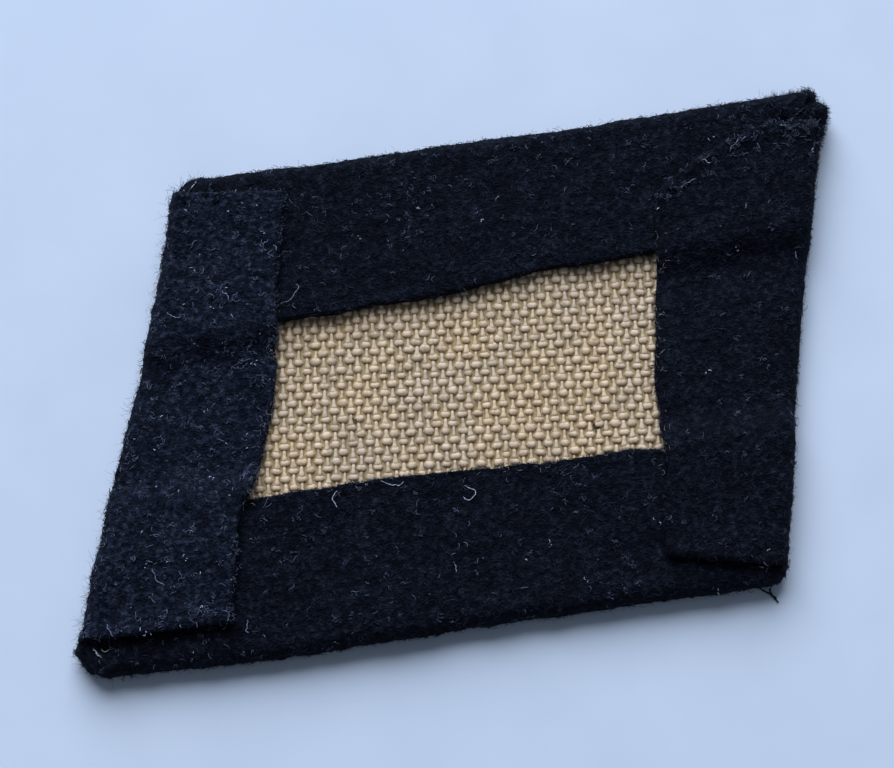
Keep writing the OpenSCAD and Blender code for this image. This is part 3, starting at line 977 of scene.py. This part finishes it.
tail = make_threads("thread_tail", [
    low_line(BR, [(1.0, 2.8, 0.6), (0.45, 2.15, 0.42), (0.05, 1.45, 0.22), (-0.35, 1.0, 0.2),
                  (-0.85, 0.55, 0.14)]),
    low_line(BR, [(0.8, 1.3, 0.6), (0.35, 1.45, 0.38), (-0.2, 1.15, 0.24), (-0.45, 0.75, 0.30)]),
], 0.065 * MM, 0.045 * MM, BLACK, 6)


# Stray curls of wool, one by one

def curl(x, y, heading, length, bend):
    """The line of a fibre that lies on the cloth: its middle and its length in millimetres, its heading there
    and how far it turns from end to end in degrees."""
    turn = np.radians(heading + bend * np.linspace(-0.5, 0.5, 9)) + 0.45 * rng.normal(size=9)
    path = np.cumsum(np.stack([np.cos(turn), np.sin(turn)], 1), 0) * length * MM / 8
    path += np.array([x, y]) * MM - path.mean(0)
    return flat3(path, [surface.top(*p) + 0.04 * MM for p in path])


curls = make_threads("curls_grey", [curl(*c) for c in (
    (-30.7, -15.2, -57, 2.1, 25), (-24.9, -19.8, 80, 2.3, 165), (-23.1, -20.7, -86, 1.4, 12),
    (-35.5, -19.5, -74, 1.5, 25), (-16.9, 15.4, 40, 0.8, 20), (-16.0, 14.8, -80, 0.7, -50),
    (-21.2, 10.7, -75, 1.3, 45), (-26.3, 9.4, -30, 1.6, 120), (-15.1, 10.2, -115, 2.9, -110),
    (29.1, 19.0, 37, 2.4, -42), (-3.4, -17.8, -90, 1.1, 50), (23.7, 15.7, 40, 2.1, -28),
    (33.0, 7.5, -92, 0.8, 25), (28.9, 12.7, 50, 0.6, 10), (31.1, 18.5, -90, 0.6, 15))],
    0.023 * MM, 0.018 * MM, CURL, 6)
bright_curls = make_threads("curls_pale", [curl(*c) for c in (
    (-8.1, -9.2, -25, 2.4, 105), (-13.6, -9.9, -106, 1.8, 25), (-1.1, -11.1, -115, 2.9, -205),
    (25.7, 17.7, -25, 1.4, -20))], 0.019 * MM, 0.014 * MM, PALE, 6)


# Loose fibres and dirt on the buckram

SQUARE = np.array([(-1, -1), (1, -1), (1, 1), (-1, 1)])
# Dirt between the yarns: its place and the half width of its patch, in millimetres
DIRT = ((11.7, -6.1, 0.28), (11.4, -4.6, 0.12), (-10.9, -2.4, 0.2))
dirty = np.array([flat3((SQUARE * half + (x, y)) * MM, BOARD_Z - 0.13 * MM) for x, y, half in DIRT])
side_cuts = np.concatenate([cut_beds[k] for k in (0, 1, 3)])
side_cuts = side_cuts[window_depth(side_cuts.mean(1)[:, :2]) > -1.2 * MM]
window_bed = flat3(window, BOARD_Z - 0.02 * MM)[None]
loose = [make_fibres(*row) for row in (
    ("loose_cotton", window_bed, 260, (0.3, 1.5), (0.007, 0.014), COTTON, 84, 0.06, 0.2, 1.6, 9, 0.3),
    ("loose_cotton_edges", side_cuts, 200, (0.3, 0.9), (0.006, 0.012), COTTON, 89, 0.15, 0.6, 2.0, 8, 0.3),
    ("specks", dirty, 100, (0.15, 0.4), (0.02, 0.05), BROWN, 85, 0.05, 0.2, 3.0, 6, 0.3),
)]


# Every piece hangs on the root body, and the CAD nodes they stand in for are hidden

for piece, node in ((face, "wool_face"), (top_flap, "top_turn_in"), (bottom_flap, "bottom_turn_in"),
                    (left_flap, "left_turn_in"), (right_flap, "right_turn_in")):
    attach(piece, "root")
    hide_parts(node)
for node, piece in stitches.items():
    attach(piece, "root")
    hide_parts(node)
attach(ply, "root")
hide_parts("buckram")
for piece in [*naps, *face_naps, curls, bright_curls]:
    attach(piece, "root")
for piece in (painted_glints, tail):
    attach(piece, "root")
for piece in [*loose, weft, warp]:
    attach(piece, "root")


# Floor, light and camera

FLOOR_HALF = 3  # metres
floor = make_piece("floor", flat3(SQUARE * FLOOR_HALF, -0.01 * MM), [[(0, 1, 2, 3)]], floor_material())

world = bpy.data.worlds.new("soft_daylight")
world.use_nodes = True
background = world.node_tree.nodes["Background"]
background.inputs["Color"].default_value = (0.72, 0.83, 1.0, 1)
background.inputs["Strength"].default_value = 0.16
bpy.context.scene.world = world

light = bpy.data.lights.new("window_light", "AREA")
light.shape = "DISK"
light.size = 1.28
light.energy = 23.4
light.color = (0.86, 0.925, 1.04)
lamp = bpy.data.objects.new("window_light", light)
lamp.location = (-0.04, 0.955, 0.75)
lamp.rotation_euler = (-lamp.location).to_track_quat("-Z", "Y").to_euler()
bpy.context.scene.collection.objects.link(lamp)

AZIMUTH, ELEVATION, ROLL = (math.radians(a) for a in (-9.24, 75.74, 1.22))
DISTANCE = 0.2473
TARGET = Vector((-0.00161, 0.00026, 0))
turned = Matrix.Rotation(AZIMUTH, 4, "Z") @ Matrix.Rotation(math.pi / 2 - ELEVATION, 4, "X")
turned = turned @ Matrix.Rotation(ROLL, 4, "Z")
camera = bpy.data.cameras.new("camera")
camera.sensor_width = 36
camera.lens = 104.7
camera.clip_start = 0.01
viewer = bpy.data.objects.new("camera", camera)
viewer.matrix_world = Matrix.Translation(TARGET) @ turned @ Matrix.Translation((0, 0, DISTANCE))
bpy.context.scene.collection.objects.link(viewer)
bpy.context.scene.camera = viewer
bpy.context.scene.view_settings.view_transform = "Standard"
